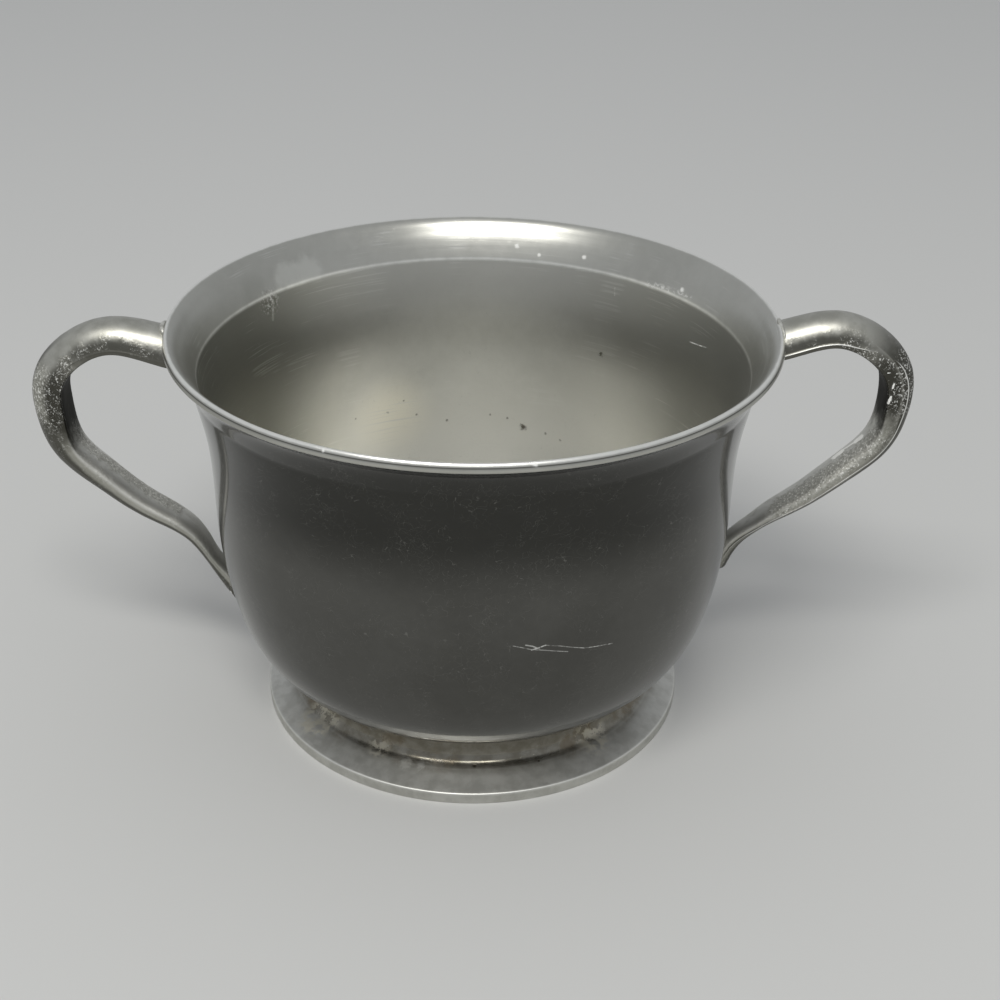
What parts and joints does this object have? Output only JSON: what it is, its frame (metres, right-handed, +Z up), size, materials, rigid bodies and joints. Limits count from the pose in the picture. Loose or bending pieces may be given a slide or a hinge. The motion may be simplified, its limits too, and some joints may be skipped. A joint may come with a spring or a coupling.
{
  "type": "sugar bowl",
  "caption": "Small pewter sugar bowl with a flared lip, rounded belly, spun foot ring and a pair of scrolled ear handles soldered on.",
  "frame": {"origin": "on the table, on the axis of the bowl, at the middle of the foot ring's underside", "axes": "+X through the right handle, +Y away from the front of the bowl, +Z up out of its mouth"},
  "size_m": [0.1261, 0.0864, 0.0619],
  "materials": {
    "body": "polished pewter outside, satin inside",
    "foot": "polished pewter, lightly stained",
    "handles": "cast pewter, worn smooth on top",
    "solder": "dull pale tin solder"
  },
  "bodies": {
    "root": {"bowl_body": "body", "foot_ring": "foot", "handle_left": "handles", "handle_right": "handles", "solder_foot_seam": "solder", "solder_left_rim": "solder", "solder_left_tail": "solder", "solder_right_rim": "solder", "solder_right_tail": "solder"}
  },
  "joints": []
}
